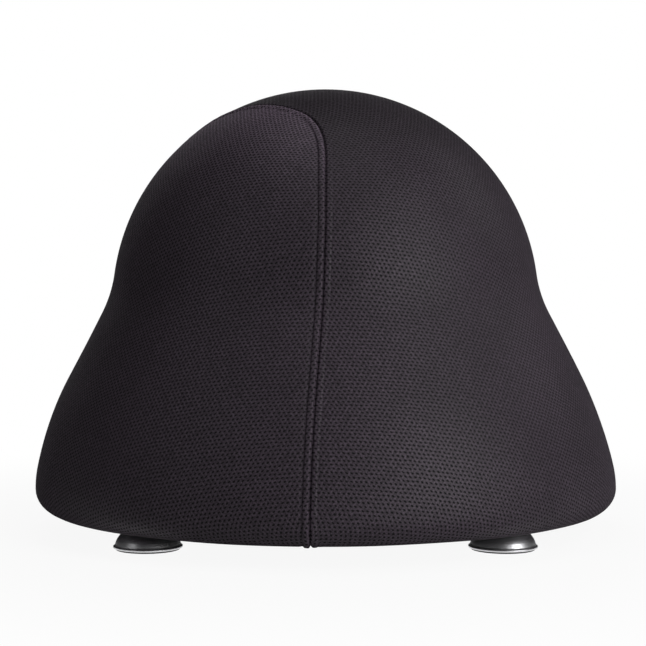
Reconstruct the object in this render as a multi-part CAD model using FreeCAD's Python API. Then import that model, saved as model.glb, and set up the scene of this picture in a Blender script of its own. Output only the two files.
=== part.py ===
import FreeCAD, Part
import math
import os

V = FreeCAD.Vector

# Balance ball chair: an inflated ball in a sewn mesh cover, on a welded bar frame with four
# levelling feet. Millimetres, +Z up, -Y is the front, and the floor is Z = 0.

# Overall sizes: the ball fills the height between the bottom panel and the cover's crown, its
# underside is pressed flat by ball_squash, and the skirt reaches out past it by skirt_spread
seat_height = 432.0
ball_squash = 8.1
skirt_spread = 78.25

# Outline of the dressed cover, as arcs that run into each other from the rim up to the crown
widest_height = 40.5
rim_radius = 21.5
shoulder_radius = 106.0
shoulder_angle = 11.6
flank_radius = 337.0
flare_angle = 27.0
neck_radius = 121.0

# Ball
ball_wall = 2.5
valve_angle = 35.0

# Cloth, foam and the small clearance between soft neighbours
cover_cloth = 3.5
panel_cloth = 2.0
snug = 0.3
skirt_foam = 28.0
skirt_rise = 5.3
hem_turn = 35.75
overcut = 1.0

# Seams of the two petals, seen from above
petal_top = 95.0
petal_rounding = 75.0
lean_inset = 7.5
lean_angle = 8.7
groove_width = 2.6
groove_depth = 1.3

# Welded frame of round bar
bar_radius = 6.0
cradle_inset = 42.5
leg_radius = 7.0
sleeve_foam = 6.0
sleeve_gap = 4.0

# Feet: a levelling stud in a threaded boss, with a swivelling pad under a pressed cap
foot_inset = 59.75
boss_flats = 19.0
boss_seat = 20.4
stud_radius = 5.0
stud_gap = 5.4
thread_clearance = 0.05
collar_flats = 15.0
collar_height = 3.7
cap_radius = 31.25
cap_top_radius = 22.6
cap_height = 16.0
cap_wall = 1.2
cap_hole = 6.6
cap_waist = 9.9
cap_swell = 1.6
flange_edge = 0.4
flange_height = 1.6
flange_roll = 1.5
pad_inset = 2.4
pad_core_radius = 12.0
pad_core_height = 12.0
pad_floor = 4.0

# Eyelets that the bosses reach through in the bottom panel
eyelet_bore = 12.6
eyelet_width = 4.4
eyelet_lip = 0.8

# Zip in the bottom panel
zip_radius = 150.0
zip_facets = 21
zip_start = 185.0
slider_margin = 4.0
tape_width = 22.0
tape_thickness = 0.9
teeth_width = 6.0
teeth_height = 2.4
slider_length = 13.0
slider_width = 10.0
slider_wall = 1.2
pull_length = 9.5
pull_width = 6.0
pull_thickness = 1.4
pull_cheek = 1.0
pin_radius = 0.8

# Valve and its plug
valve_radius = 8.0
valve_flange = 11.0
valve_flange_height = 1.5
valve_length = 13.0
boss_margin = 4.0
boss_proud = 1.5
plug_radius = 3.5
plug_length = 12.0
plug_head_radius = 6.5
plug_head_height = 1.8
running_fit = 0.05

# Fineness of the faceted forms: SIDES is four times an odd number, so that a corner lies on
# each axis and a flat lies over each foot
SIDES = 44
DOME_STEPS = 7
BAR_SIDES = 6
SLEEVE_SIDES = 8
FOOT_SIDES = 20
SMALL_SIDES = 16
STUD_SIDES = 24

underside = widest_height - rim_radius
panel_top = underside + panel_cloth
ball_top = seat_height - cover_cloth - snug
ball_radius = (ball_top - panel_top - snug + ball_squash) / 2.0
ball_height = ball_top - ball_radius
dome_radius = seat_height - ball_height
cover_radius = ball_radius + skirt_spread
hem_radius = cover_radius - hem_turn
skirt_top = ball_height + skirt_rise
lean_start = ball_radius - lean_inset
ring_radius = cover_radius - rim_radius
ring_height = widest_height
cradle_radius = ball_radius - cradle_inset
cradle_reach = ball_radius + snug + bar_radius + snug + sleeve_foam
cradle_height = ball_height - math.sqrt(cradle_reach ** 2 - cradle_radius ** 2)
foot_radius = cover_radius - foot_inset
leg_slope = math.atan2(cradle_height - ring_height, ring_radius - cradle_radius)
boss_top = ring_height + (ring_radius - foot_radius) * math.tan(leg_slope)
stud_top = boss_top - leg_radius / math.cos(leg_slope) - stud_gap
foot_angles = {"front_right": -45.0, "back_right": 45.0, "back_left": 135.0, "front_left": 225.0}


def save(shape, node):
    shape.exportStep("parts/" + node + ".step")


def polar(radius, degrees):
    """Return x and y of a point at that radius and angle."""
    turn = math.radians(degrees)
    return radius * math.cos(turn), radius * math.sin(turn)


def arc_points(centre, radius, first, last, steps):
    """Points of an arc in the (r, z) plane, with its angles from the outward direction."""
    points = []
    for i in range(steps + 1):
        x, z = polar(radius, first + (last - first) * i / steps)
        points.append((centre[0] + x, centre[1] + z))
    return points


def outline_arcs():
    """Centres, radii and angles of the cover's tangent arcs, from the underside to the crown.

    Each arc starts where the last one ended, in the same direction. The flare is a straight
    run whose length is the one that lets the hollow neck arc touch the dome's circle.
    """
    rim = (ring_radius, widest_height)
    shoulder = (cover_radius - shoulder_radius, widest_height)
    out = polar(1.0, shoulder_angle)
    top = (shoulder[0] + shoulder_radius * out[0], shoulder[1] + shoulder_radius * out[1])
    flank = (top[0] - flank_radius * out[0], top[1] - flank_radius * out[1])
    out = polar(1.0, flare_angle)
    up = (-out[1], out[0])
    start = (flank[0] + flank_radius * out[0], flank[1] + flank_radius * out[1])
    offset = (start[0] + neck_radius * out[0], start[1] + neck_radius * out[1] - ball_height)
    along = offset[0] * up[0] + offset[1] * up[1]
    beyond = offset[0] ** 2 + offset[1] ** 2 - (dome_radius + neck_radius) ** 2
    run = -along - math.sqrt(along ** 2 - beyond)
    neck = (start[0] + run * up[0] + neck_radius * out[0], start[1] + run * up[1] + neck_radius * out[1])
    meet = math.degrees(math.atan2(neck[1] - ball_height, neck[0]))
    return rim, shoulder, flank, neck, meet


def cover_outline(inset):
    """The cover's outline in the (r, z) plane, set in by a distance, from underside to crown."""
    rim, shoulder, flank, neck, meet = outline_arcs()
    points = arc_points(rim, rim_radius - inset, -90.0, 0.0, 4)
    points += arc_points(shoulder, shoulder_radius - inset, 0.0, shoulder_angle, 1)[1:]
    points += arc_points(flank, flank_radius - inset, shoulder_angle, flare_angle, 3)[1:]
    turn_in = arc_points(neck, neck_radius + inset, 180.0 + flare_angle, 180.0 + meet, 2)
    points += turn_in
    points += arc_points((0.0, ball_height), dome_radius - inset, meet, 90.0, DOME_STEPS)[1:]
    points[-1] = (0.0, points[-1][1])
    return points


def faceted(outline, sides=SIDES, first=0, count=None):
    """Turn a closed (r, z) outline about Z through flat facets, all round or over some of them."""
    whole = count is None
    count = sides if whole else count
    step = 360.0 / sides

    def corner(point, k):
        x, y = polar(point[0], step * (first + k))
        return V(x, y, point[1])

    faces = []
    for low, high in zip(outline, outline[1:] + outline[:1]):
        if low[0] == 0.0 and high[0] == 0.0:
            continue
        for k in range(count):
            points = [corner(low, k)]
            if low[0] > 0.0:
                points.append(corner(low, k + 1))
            if high[0] > 0.0:
                points.append(corner(high, k + 1))
            points.append(corner(high, k))
            faces.append(Part.Face(Part.makePolygon(points + points[:1])))
    if not whole:
        for k in (0, count):
            ring = [corner(point, k) for point in outline]
            faces.append(Part.Face(Part.makePolygon(ring + ring[:1])))
    shell = Part.Shell(faces)
    shell.sewShape()
    solid = Part.Solid(shell)
    if solid.Volume < 0.0:
        solid.reverse()
    return solid


def drum(radius, low, high, sides=SIDES):
    """Upright faceted drum about the Z axis."""
    return faceted([(0.0, low), (radius, low), (radius, high), (0.0, high)], sides)


def round_section(ring, height, radius, sides):
    """Corners of a round bar's section at a ring, a flat facing out and the flats at its radius."""
    turn = 180.0 / sides
    return arc_points((ring, height), radius / math.cos(math.radians(turn)), turn, turn + 360.0, sides)[:-1]


def prism(sides, radius, low, high):
    """Upright prism about the Z axis, its corners at that radius."""
    turn = 180.0 / sides
    points = []
    for k in range(sides):
        x, y = polar(radius, turn + 2.0 * turn * k)
        points.append(V(x, y, low))
    return Part.Face(Part.makePolygon(points + points[:1])).extrude(V(0, 0, high - low))


def placed(shape, angle):
    """Copy of a foot piece, drawn on the Z axis, at its place on the foot circle."""
    copy = shape.copy()
    x, y = polar(foot_radius, angle)
    copy.translate(V(x, y, 0))
    return copy


def petal_outline(grow):
    """One petal seen from above, as (x, y) points, with its edges moved out by a distance.

    The petal lies between the front and the left. Its two sides run straight towards the hem
    and lean there, and its top is cut square to the diagonal with a rounding at both corners.
    """
    reach = cover_radius + hem_radius
    lean = math.tan(math.radians(lean_angle)) * (reach - lean_start)
    corner = math.sqrt(2.0) * (petal_top - grow) + grow
    tangent = (petal_rounding + grow) * math.tan(math.pi / 8.0)
    side = [(grow - lean, -reach), (grow, -lean_start)]
    centre = (-petal_rounding, -corner - tangent)
    rounding = arc_points(centre, petal_rounding + grow, 0.0, 45.0, 3)
    mirrored = [(y, x) for x, y in reversed(rounding)]
    other = [(-lean_start, grow), (-reach, grow + lean)]
    return side + rounding + mirrored + other + [(-reach, -reach)]


def petal_prism(grow, turn):
    points = [V(x, y, 0.0) for x, y in petal_outline(grow)]
    block = Part.Face(Part.makePolygon(points + points[:1])).extrude(V(0, 0, seat_height + overcut))
    block.rotate(V(0, 0, 0), V(0, 0, 1), turn)
    return block


def cover_layer(outside, inside):
    """Cloth between two insets of the outline, from the hem under the rim to the crown."""
    outer = [(hem_radius, underside + outside)] + cover_outline(outside)
    inner = [(hem_radius, underside + inside)] + cover_outline(inside)
    return faceted(outer + inner[::-1])


def build_cover():
    wall = cover_layer(0.0, cover_cloth)
    skin = cover_layer(-overcut, groove_depth)
    half = groove_width / 2.0
    petals = {"cover_petal_front_left": 0.0, "cover_petal_back_right": 180.0}
    saddle = wall
    for node, turn in petals.items():
        groove = petal_prism(half, turn).cut(petal_prism(-half, turn)).common(skin)
        petal = wall.common(petal_prism(0.0, turn)).cut(groove)
        saddle = saddle.cut(petal_prism(0.0, turn)).cut(groove)
        save(petal, node)
    save(saddle, "cover_saddle_panel")


def ball_outline(radius, floor):
    """Outline of a sphere that rests flat on a floor, from the floor to the top.

    It has a corner where the cradle touches it and the same corners as the cover's dome.
    """
    low = -math.degrees(math.asin((ball_height - floor) / radius))
    touch = -math.degrees(math.atan2(ball_height - cradle_height, cradle_radius))
    meet = outline_arcs()[4]
    centre = (0.0, ball_height)
    points = arc_points(centre, radius, low, touch, 2)
    points += arc_points(centre, radius, touch, meet, 3)[1:]
    points += arc_points(centre, radius, meet, 90.0, DOME_STEPS)[1:]
    points[-1] = (0.0, points[-1][1])
    return [(0.0, floor)] + points


def valve_place(shape):
    """Move a piece from the Z axis to the ball's underside at the back, pointing outwards."""
    shape.rotate(V(0, 0, 0), V(1, 0, 0), 180.0 + valve_angle)
    shape.translate(V(0, 0, ball_height))
    return shape


def build_ball():
    rest = panel_top + snug
    outer = faceted(ball_outline(ball_radius, rest))
    inner = faceted(ball_outline(ball_radius - ball_wall, rest + ball_wall))
    face = ball_radius + boss_proud
    inside = face - valve_length
    boss = drum(valve_radius + boss_margin, inside + overcut, face, SMALL_SIDES)
    hole = drum(valve_radius + running_fit, inside - overcut, face + overcut, SMALL_SIDES)
    ball = outer.cut(inner).fuse(valve_place(boss)).cut(valve_place(hole))
    save(ball, "ball")

    top = face + valve_flange_height
    end = top - plug_length - snug
    bore = plug_radius + running_fit
    valve = faceted([
        (valve_radius, inside), (valve_radius, face), (valve_flange, face), (valve_flange, top),
        (bore, top), (bore, end), (0.0, end), (0.0, inside),
    ], SMALL_SIDES)
    save(valve_place(valve), "ball_valve")
    plug = faceted([
        (plug_radius, end + snug), (plug_radius, top), (plug_head_radius, top),
        (plug_head_radius, top + plug_head_height), (0.0, top + plug_head_height), (0.0, end + snug),
    ], SMALL_SIDES)
    save(valve_place(plug), "ball_plug")


def build_rings():
    base = faceted(round_section(ring_radius, ring_height, bar_radius, BAR_SIDES))
    cradle = faceted(round_section(cradle_radius, cradle_height, bar_radius, BAR_SIDES))
    save(base, "base_ring")
    save(cradle, "cradle_ring")
    return base, cradle


def build_legs(base, cradle):
    """A sloping bar over each foot, coped to both rings, with the threaded boss under it."""
    length = (ring_radius - cradle_radius) / math.cos(leg_slope)
    bar = prism(BAR_SIDES, leg_radius / math.cos(math.pi / BAR_SIDES), 0.0, length)
    bar.rotate(V(0, 0, 0), V(0, 1, 0), 90.0 + math.degrees(leg_slope))
    bar.translate(V(cradle_radius, 0, cradle_height))
    boss = prism(6, boss_flats / math.sqrt(3.0), boss_seat, boss_top)
    boss.translate(V(foot_radius, 0, 0))
    for name, angle in foot_angles.items():
        leg = bar.copy()
        leg.rotate(V(0, 0, 0), V(0, 0, 1), angle)
        leg = leg.cut(base).cut(cradle)
        save(max(leg.Solids, key=lambda piece: piece.Volume), "leg_" + name)
        post = boss.copy()
        post.rotate(V(0, 0, 0), V(0, 0, 1), angle)
        bore_radius = (stud_radius + thread_clearance) / math.cos(math.pi / STUD_SIDES)
        bore = prism(STUD_SIDES, bore_radius, boss_seat, stud_top + overcut)
        lowest = min(post.cut(leg).Solids, key=lambda piece: piece.BoundBox.ZMin)
        save(lowest.cut(placed(bore, angle)), "foot_boss_" + name)


def facets_between_legs(radius, gap):
    """First facet and number of facets of the ring piece after each leg, clear of both legs."""
    step = 360.0 / SIDES
    clear = math.degrees(math.asin((leg_radius + gap) / radius))
    runs = {}
    for name, angle in {"right": -45.0, "back": 45.0, "left": 135.0, "front": 225.0}.items():
        first = math.ceil((angle + clear) / step)
        last = math.floor((angle + 90.0 - clear) / step)
        runs[name] = (first, last - first)
    return runs


def build_sleeves():
    """Foam pipe on both rings, slit into four lengths between the legs."""
    inner = bar_radius + snug
    around = {
        "rim_sleeve_": (ring_radius, ring_height, rim_radius - cover_cloth - snug),
        "cradle_sleeve_": (cradle_radius, cradle_height, inner + sleeve_foam),
    }
    for node, (ring, height, outer) in around.items():
        for name, (first, count) in facets_between_legs(ring, sleeve_gap).items():
            skin = round_section(ring, height, outer * math.cos(math.pi / SLEEVE_SIDES), SLEEVE_SIDES)
            pipe = faceted(skin, SIDES, first, count)
            core = faceted(round_section(ring, height, inner, BAR_SIDES), SIDES, first - 1, count + 2)
            save(pipe.cut(core), node + name)


def build_skirt():
    """Foam former that fills the cover out between the ball and the rim."""
    outside = cover_outline(cover_cloth + snug)
    inside = cover_outline(cover_cloth + snug + skirt_foam)
    floor = ring_height + rim_radius - cover_cloth
    wall = faceted(outside + inside[::-1])
    slab = drum(cover_radius, floor, skirt_top)
    room = faceted(ball_outline(ball_radius + snug, panel_top))
    save(wall.common(slab).cut(room), "foam_skirt")


def zip_band(width, low, high):
    """Part of a flat ring along the zip, of that width, between two heights."""
    inner = zip_radius - width / 2.0
    outer = zip_radius + width / 2.0
    band = faceted([(inner, low), (outer, low), (outer, high), (inner, high)], SIDES, 0, zip_facets)
    band.rotate(V(0, 0, 0), V(0, 0, 1), zip_start)
    return band


def block(width, length, low, high):
    """Box centred on the Z axis between two heights."""
    box = Part.makeBox(width, length, high - low)
    box.translate(V(-width / 2.0, -length / 2.0, low))
    return box


def cross_pin(radius, length, height):
    """Round pin along X, centred over the Z axis."""
    return Part.makeCylinder(radius, length, V(-length / 2.0, 0, height), V(1, 0, 0))


def build_bottom():
    """Bottom panel with its eyelets, the zip let into it, and the zip's slider and pull."""
    panel = drum(hem_radius - snug, underside, panel_top)
    lip = [
        (eyelet_bore, underside - eyelet_lip),
        (eyelet_bore + eyelet_width, underside - eyelet_lip),
        (eyelet_bore + eyelet_width, underside),
        (eyelet_bore, underside),
    ]
    hole = drum(eyelet_bore, underside, panel_top, SMALL_SIDES)
    ring = faceted(lip, SMALL_SIDES)
    eyelets = []
    for angle in foot_angles.values():
        panel = panel.cut(placed(hole, angle))
        eyelets.append(placed(ring, angle))
    panel = panel.cut(zip_band(teeth_width, underside, panel_top))
    save(panel, "bottom_panel")
    save(Part.makeCompound(eyelets), "bottom_eyelets")

    tape_low = underside - tape_thickness
    tape = zip_band(tape_width, tape_low, underside)
    teeth = zip_band(teeth_width, underside, underside + teeth_height - tape_thickness)
    save(tape.fuse(teeth).removeSplitter(), "zip_tape")

    body_low = tape_low - running_fit - slider_wall
    pin_height = body_low - slider_wall - pin_radius
    body = block(slider_width, slider_length, body_low, body_low + slider_wall)
    lug = block(slider_width / 2.0, slider_length / 2.0, pin_height - pin_radius - slider_wall, body_low)
    slider = body.fuse(lug).cut(cross_pin(pin_radius + running_fit, slider_width, pin_height))
    slider = slider.removeSplitter()

    pull_top = pin_height + pin_radius
    pull_low = pull_top - pull_length
    outer_width = pull_width + 2.0 * pull_cheek
    pull = block(outer_width, pull_thickness, pull_low, pull_top)
    pull = pull.cut(block(pull_width, pull_thickness, pull_low + pull_length / 2.0, pull_top))
    pull = pull.fuse(cross_pin(pin_radius, outer_width, pin_height)).removeSplitter()
    for piece, node in ((slider, "zip_slider"), (pull, "zip_pull")):
        piece.translate(V(zip_radius, 0, 0))
        piece.rotate(V(0, 0, 0), V(0, 0, 1), zip_start + slider_margin)
        save(piece, node)


def build_feet():
    skirt = cap_radius - flange_roll
    flange_top = flange_height + flange_roll
    waist = (cap_top_radius + skirt) / 2.0 + cap_swell
    cap = faceted([
        (cap_radius, flange_height), (cap_radius, flange_top), (skirt, flange_top + flange_edge),
        (waist, cap_waist), (cap_top_radius, cap_height), (cap_hole, cap_height),
        (cap_hole, cap_height - cap_wall), (cap_top_radius - cap_wall, cap_height - cap_wall),
        (waist - cap_wall, cap_waist - cap_wall / 2.0), (skirt - cap_wall, flange_height),
    ], FOOT_SIDES)
    sole = cap_radius - pad_inset
    pad = faceted([
        (sole, 0.0), (sole, flange_height), (pad_core_radius, flange_height),
        (pad_core_radius, pad_core_height), (0.0, pad_core_height), (0.0, 0.0),
    ], FOOT_SIDES)
    socket = (stud_radius + running_fit) / math.cos(math.pi / SMALL_SIDES)
    pad = pad.cut(prism(SMALL_SIDES, socket, pad_floor, pad_core_height + overcut))

    collar_low = boss_seat - snug - collar_height
    stud = prism(STUD_SIDES, stud_radius, pad_floor + running_fit, stud_top)
    collar = prism(6, collar_flats / math.sqrt(3.0), collar_low, collar_low + collar_height)
    stud = stud.fuse(collar).removeSplitter()
    for name, angle in foot_angles.items():
        save(placed(cap, angle), "foot_cap_" + name)
        save(placed(pad, angle), "foot_pad_" + name)
        save(placed(stud, angle), "foot_stud_" + name)


os.makedirs("parts", exist_ok=True)
build_cover()
build_ball()
base_ring, cradle_ring = build_rings()
build_legs(base_ring, cradle_ring)
build_sleeves()
build_skirt()
build_bottom()
build_feet()
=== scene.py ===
# %% [markdown]
# # Dressing a ball seat in its mesh cover
# The seat is a ball of air held in a round frame, under a cover of black spacer mesh sewn from
# three panels like a tennis ball. The CAD model gives every piece its place. This lesson lays
# the cloth, the metal and the threads over it, one finish at a time.

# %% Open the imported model
import bmesh
import bpy
import math
import numpy as np
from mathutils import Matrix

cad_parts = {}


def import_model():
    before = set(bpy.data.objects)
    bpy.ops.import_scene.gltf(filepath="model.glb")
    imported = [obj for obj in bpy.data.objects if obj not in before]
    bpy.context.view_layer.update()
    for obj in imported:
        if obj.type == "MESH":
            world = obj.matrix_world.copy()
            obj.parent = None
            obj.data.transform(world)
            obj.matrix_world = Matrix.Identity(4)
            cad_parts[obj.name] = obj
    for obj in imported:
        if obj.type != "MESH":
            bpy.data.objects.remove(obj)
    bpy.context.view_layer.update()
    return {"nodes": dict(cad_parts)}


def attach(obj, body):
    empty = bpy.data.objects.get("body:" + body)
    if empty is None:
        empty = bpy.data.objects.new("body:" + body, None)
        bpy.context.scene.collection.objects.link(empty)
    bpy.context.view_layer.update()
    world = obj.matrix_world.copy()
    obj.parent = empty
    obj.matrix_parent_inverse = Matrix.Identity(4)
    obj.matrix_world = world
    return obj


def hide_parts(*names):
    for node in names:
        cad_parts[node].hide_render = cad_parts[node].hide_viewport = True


MM, TURN = 0.001, 2 * math.pi
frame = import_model()

# %% [markdown]
# ## Camera
# The photograph was taken from straight ahead with a long lens, a little above half the seat's
# height. The sensor is shifted, not tilted, so upright lines stay upright.

# %% Camera at the photograph's place
PICTURE, FOCAL_PIXELS, SHIFT_PIXELS, SENSOR = 646, 1599.2, (-2.5, -35.2), 36.0


def put(name, data):
    made = bpy.data.objects.new(name, data)
    bpy.context.scene.collection.objects.link(made)
    return made


camera_data = bpy.data.cameras.new("camera")
camera_data.sensor_width = SENSOR
camera_data.lens = FOCAL_PIXELS / PICTURE * SENSOR
camera_data.shift_x, camera_data.shift_y = (shift / PICTURE for shift in SHIFT_PIXELS)
camera = put("camera", camera_data)
camera.location = (0.0, -1.6, 0.235)
camera.rotation_euler = (math.pi / 2, 0.0, 0.0)
bpy.context.scene.camera = camera
bpy.context.scene.view_settings.view_transform = "Standard"
print("lens", round(camera_data.lens, 1), "mm")


# %% [markdown]
# ## Writing materials as sums
# A finish is a drawing made with arithmetic: waves for a weave, noise for grain. With this class
# the arithmetic is written as plain expressions, and each one adds its Math node.

# %% Shader arithmetic
class Value:
    """A socket that can be added and multiplied like a number."""

    def __init__(self, finish, socket):
        self.finish, self.socket = finish, socket

    def maths(self, operation, *others):
        return self.finish.node("ShaderNodeMath", [self, *others], operation=operation)

    def wave(self, length, kind="COSINE"):
        """Rises and falls once over each length."""
        return (self * (TURN / length)).maths(kind)

    def __add__(self, other): return self.maths("ADD", other)
    def __mul__(self, other): return self.maths("MULTIPLY", other)
    def __sub__(self, other): return self.maths("SUBTRACT", other)
    def __rsub__(self, other): return (self * -1.0) + other

    __radd__, __rmul__ = __add__, __mul__


class Finish:
    """A material under construction."""

    def __init__(self, name):
        self.material = bpy.data.materials.new(name)
        self.material.use_nodes = True
        self.tree = self.material.node_tree
        self.shader = self.tree.nodes["Principled BSDF"]

    def node(self, kind, inputs=(), output=0, **settings):
        """Adds a node, sets its settings, then feeds its sockets by place or by name."""
        made = self.tree.nodes.new(kind)
        for key, value in settings.items():
            setattr(made, key, value)
        pairs = inputs.items() if isinstance(inputs, dict) else enumerate(inputs)
        for key, value in pairs:
            self.feed(made.inputs[key], value)
        return Value(self, made.outputs[output])

    def feed(self, socket, value):
        if isinstance(value, Value):
            self.tree.links.new(value.socket, socket)
        else:
            socket.default_value = value

    def set(self, **inputs):
        """Feeds the shader's own sockets; an underscore in a name stands for a space."""
        for key, value in inputs.items():
            self.feed(self.shader.inputs[key.replace("_", " ")], value)
        return self.material

    def place(self, where="Object"):
        return self.node("ShaderNodeTexCoord", output=where)

    def mark(self, name):
        """A number kept at every corner of the mesh."""
        return self.node("ShaderNodeAttribute", output="Fac", attribute_name=name)

    def parts(self, vector):
        split = self.node("ShaderNodeSeparateXYZ", [vector]).socket.node
        return [Value(self, one) for one in split.outputs]

    def noise(self, scale, detail=2.0, rough=0.5, where=None):
        sockets = {"Vector": where or self.place(), "Scale": scale, "Detail": detail, "Roughness": rough}
        return self.node("ShaderNodeTexNoise", sockets)

    def between(self, value, low, high, to_low=0.0, to_high=1.0):
        """Eases from to_low to to_high as the value goes from low to high."""
        sockets = {"Value": value, "From Min": low, "From Max": high, "To Min": to_low, "To Max": to_high}
        return self.node("ShaderNodeMapRange", sockets, interpolation_type="SMOOTHSTEP")

    def done(self, colour, shade, rough, height, depth, strength=1.0, **others):
        """Feeds a colour times a shade, the roughness and a relief some millimetres deep."""
        if shade is not None:
            colour = self.node("ShaderNodeVectorMath", {0: colour, "Scale": shade}, operation="SCALE")
        sockets = {"Height": height, "Distance": depth * MM, "Strength": strength}
        relief = self.node("ShaderNodeBump", sockets)
        return self.set(Base_Color=colour, Roughness=rough, Normal=relief, **others)


print("arithmetic ready")


# %% [markdown]
# ## Grids of points
# Every new piece is a surface over a rectangle of two numbers. numpy works out all its points at
# once, and one function turns such grids into a mesh.

# %% Points and paths
def circle(sides):
    """Angles all round, at even steps."""
    return np.linspace(0.0, TURN, sides, endpoint=False)


def stacked(*coordinates):
    """Points from their coordinates, each a number or an array."""
    return np.stack(np.broadcast_arrays(*coordinates), -1)


def direction(angle):
    return stacked(np.cos(angle), np.sin(angle))


def upright(r, angle, z, centre=(0.0, 0.0)):
    """Points at a radius, an angle and a height about an upright axis."""
    return stacked(centre[0] + r * np.cos(angle), centre[1] + r * np.sin(angle), z)


def rotated(a, b, angle):
    c, s = direction(angle)
    return a * c - b * s, a * s + b * c


def unit(vectors):
    return vectors / np.linalg.norm(vectors, axis=-1, keepdims=True)


def travelled(path):
    """Length of a path up to each of its points."""
    return np.concatenate([[0.0], np.cumsum(np.linalg.norm(np.diff(path, axis=0), axis=1))])


def read_at(places, known, path):
    """Every coordinate of a path, read at those places."""
    return np.stack([np.interp(places, known, column) for column in path.T], -1)


def on_path(path, share):
    """Points at a share of the way along an evenly sampled path."""
    return read_at(share, np.linspace(0.0, 1.0, len(path)), path)


def evenly(points, count, along=None):
    """Resamples a path at even steps of its own length, or of another path's length."""
    length = travelled(points if along is None else along)
    return read_at(np.linspace(0.0, length[-1], count), length, points)


def tube(path, first, second, radius, sides):
    """Circles about the points of one or many paths, in the plane of two directions."""
    a = circle(sides)[:, None]
    ring = np.cos(a) * first[..., None, :] + np.sin(a) * second[..., None, :]
    return path[..., None, :] + radius * ring


print("a circle of four:", np.degrees(circle(4)))


# %% From grids to pieces
WELD_WITHIN, SHARP_FROM = 2e-6, math.radians(42)


def grid_faces(rows, columns, round_columns, round_rows):
    """Corner numbers of a grid's squares; round means that it closes on itself."""
    index = np.arange(rows * columns).reshape(rows, columns)
    if round_columns:
        index = np.hstack([index, index[:, :1]])
    if round_rows:
        index = np.vstack([index, index[:1]])
    return np.stack([index[:-1, :-1], index[:-1, 1:], index[1:, 1:], index[1:, :-1]], -1).reshape(-1, 4)


def joined(grids):
    """Points and faces of several grids; one with four indices holds many small grids alike."""
    points, faces, start = [], [], 0
    for grid, round_columns, round_rows in grids:
        many = grid if grid.ndim == 4 else grid[None]
        count, rows, columns = many.shape[:3]
        firsts = start + np.arange(count) * rows * columns
        one = grid_faces(rows, columns, round_columns, round_rows)
        faces.append((one + firsts[:, None, None]).reshape(-1, 4))
        points.append(many.reshape(-1, 3))
        start += count * rows * columns
    return np.vstack(points), np.vstack(faces)


def tidy(mesh, facing):
    """Welds doubled points, turns the faces outwards and smooths all but sharp edges."""
    work = bmesh.new()
    work.from_mesh(mesh)
    bmesh.ops.remove_doubles(work, verts=work.verts, dist=WELD_WITHIN)
    loose = [one for one in work.verts if not one.link_faces]
    bmesh.ops.delete(work, geom=loose, context="VERTS")
    if facing is None:
        bmesh.ops.recalc_face_normals(work, faces=work.faces)
    else:
        work.normal_update()
        work.faces.ensure_lookup_table()
        middle = work.faces[len(work.faces) // 2]
        if middle.normal.dot(facing(middle.calc_center_median())) < 0.0:
            bmesh.ops.reverse_faces(work, faces=work.faces)
    work.to_mesh(mesh)
    work.free()
    mesh.polygons.foreach_set("use_smooth", np.ones(len(mesh.polygons), bool))
    mesh.set_sharp_from_angle(angle=SHARP_FROM)
    mesh.update()


def piece(name, grids, finish, node=None, body="chair", uv=None, marks=None, facing=None,
          drop=None):
    """Joins grids into one object that rides on a body and stands for a node of the CAD model.

    facing is the side that an open skin shows; closed pieces face outwards. drop picks the faces
    to cut out by their middles.
    """
    points, faces = joined(grids)
    if drop is not None:
        faces = faces[~drop(points[faces].mean(1))]
    mesh = bpy.data.meshes.new(name)
    mesh.from_pydata(points.tolist(), [], faces.tolist())
    if uv is not None:
        layer = mesh.uv_layers.new(name="weave")
        layer.data.foreach_set("uv", uv[faces.ravel()].ravel().astype(np.float32))
    for key, values in (marks or {}).items():
        layer = mesh.attributes.new(key, "FLOAT", "POINT")
        layer.data.foreach_set("value", values.ravel().astype(np.float32))
    tidy(mesh, facing)
    made = put(name, mesh)
    made.data.materials.append(finish)
    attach(made, body)
    if node:
        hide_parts(node)
    print(name, len(mesh.polygons), "faces")
    return made


def thicken(made, depth):
    """Gives a skin its thickness, inwards."""
    wall = made.modifiers.new("thickness", "SOLIDIFY")
    wall.thickness, wall.offset = depth, -1.0


def lathe(profile, sides=72, centre=(0.0, 0.0), start=0.0, sweep=TURN, closed=False):
    """Profile (r, z) turned about an upright axis."""
    profile = np.asarray(profile, float)
    whole = abs(sweep - TURN) < 1e-6
    angle = start + np.linspace(0.0, sweep, sides, endpoint=not whole)
    return upright(profile[:, :1], angle, profile[:, 1:2], centre), whole, closed


def rounded(corners, radius, steps=5):
    """A polyline with each inner corner replaced by a small parabola between its two sides."""
    corners = np.asarray(corners, float)
    radius = np.broadcast_to(radius, len(corners) - 2)
    out = [corners[:1]]
    t = np.linspace(0.0, 1.0, steps + 1)[:, None]
    for before, at, after, reach in zip(corners[:-2], corners[1:-1], corners[2:], radius):
        a, b = (at + (end - at) * min(0.5, reach / np.linalg.norm(end - at)) for end in (before, after))
        out.append((1 - t) ** 2 * a + 2 * t * (1 - t) * at + t ** 2 * b)
    out.append(corners[-1:])
    return np.vstack(out)


def bar(path, radius, sides=20, closed=False):
    """Round bar along a path: each point carries a circle square to the path."""
    path = np.asarray(path, float)
    along = unit(np.roll(path, -1, 0) - np.roll(path, 1, 0) if closed else np.gradient(path, axis=0))
    first = unit(np.cross(along, np.eye(3)[2 if np.abs(along[:, 2]).max() < 0.9 else 0]))
    grid = tube(path, first, np.cross(along, first), np.reshape(radius, (-1, 1, 1)), sides)
    if closed:
        return grid, True, True
    tips = [np.repeat(tip[None, None], sides, 1) for tip in (path[0], path[-1])]
    return np.concatenate([tips[0], grid, tips[1]]), True, False


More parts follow.
